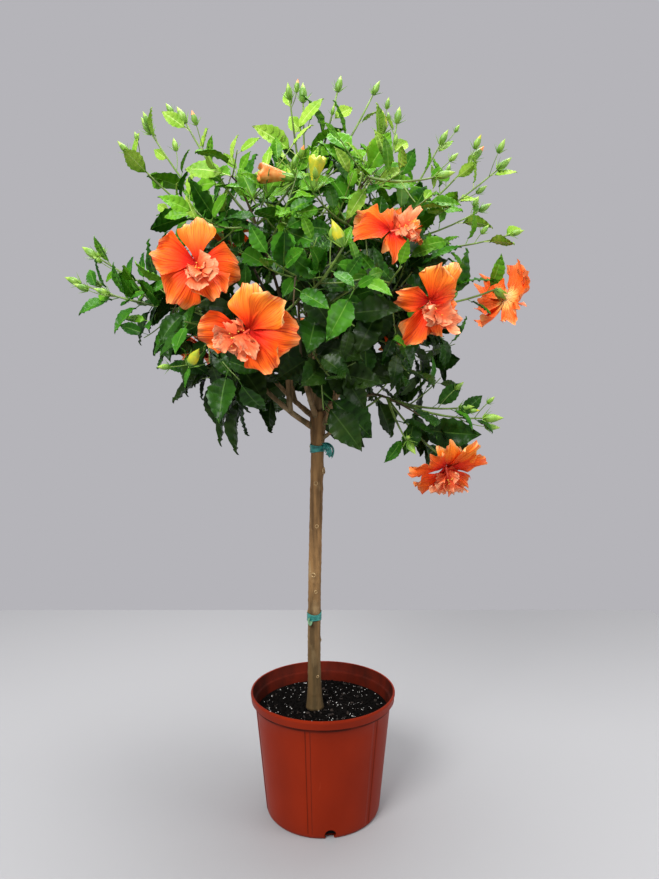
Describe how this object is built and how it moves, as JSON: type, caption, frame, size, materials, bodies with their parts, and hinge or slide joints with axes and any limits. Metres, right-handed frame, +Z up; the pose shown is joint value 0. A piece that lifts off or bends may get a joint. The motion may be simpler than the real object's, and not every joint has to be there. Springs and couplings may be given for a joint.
{
  "type": "potted hibiscus standard",
  "caption": "Hibiscus shrub trained as a standard: one bare stem, a round leafy crown with buds and double orange flowers, in a round plastic nursery pot.",
  "frame": {"origin": "centre of the pot's flat underside, on the surface that it stands on", "axes": "+Z up along the pot's axis and the stem; -Y towards the viewer, the side with the large front flowers; +X to the viewer's right"},
  "size_m": [0.7384, 0.6332, 1.2503],
  "materials": {
    "pot": "satin moulded plastic, brick red",
    "soil": "dark peat mix with white perlite",
    "bark": "thin olive-brown bark, matte",
    "foliage": "glossy green leaves, double orange flowers",
    "tie": "soft teal garden tape"
  },
  "bodies": {
    "root": {"pot": "pot", "soil": "soil", "trunk": "bark", "upper_tie": "tie", "lower_tie": "tie", "bough_low_front": "bark", "bough_low_front_right": "bark", "bough_low_back_right": "bark", "bough_low_back": "bark", "bough_low_back_left": "bark", "bough_low_front_left": "bark", "bough_high_front_left": "bark", "bough_high_front_right": "bark", "bough_high_right": "bark", "bough_high_back": "bark", "bough_high_left": "bark", "bough_crown_top": "bark", "bough_right_spray": "bark", "foliage_low_front": "foliage", "foliage_low_front_right": "foliage", "foliage_low_back_right": "foliage", "foliage_low_back": "foliage", "foliage_low_back_left": "foliage", "foliage_low_front_left": "foliage", "foliage_high_front_left": "foliage", "foliage_high_front_right": "foliage", "foliage_high_right": "foliage", "foliage_high_back": "foliage", "foliage_high_left": "foliage", "foliage_crown_top": "foliage", "foliage_right_spray": "foliage"}
  },
  "joints": []
}
